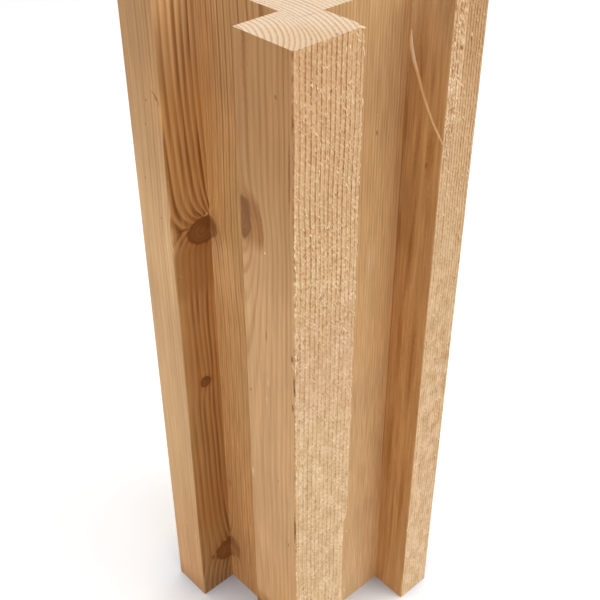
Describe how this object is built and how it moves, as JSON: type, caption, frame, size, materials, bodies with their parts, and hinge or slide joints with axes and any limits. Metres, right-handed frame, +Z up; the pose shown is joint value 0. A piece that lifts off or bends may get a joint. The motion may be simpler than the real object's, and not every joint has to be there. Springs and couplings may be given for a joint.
{
  "type": "corner post",
  "caption": "Squared softwood corner post with a board groove milled into each of two adjacent faces, so that walls meet at a right angle.",
  "frame": {"origin": "centre of the square section on the foot's end face", "axes": "+Z up along the post; the left front face with its groove looks along -X, the right front face with its groove along -Y, and the front arris stands at -X -Y"},
  "size_m": [0.145, 0.145, 0.5],
  "materials": {
    "softwood": "untreated timber, planed smooth on the left front face and in the grooves, rough sawn on the right front face, saw-cut ends"
  },
  "bodies": {
    "root": {"corner_post": "softwood"}
  },
  "joints": []
}
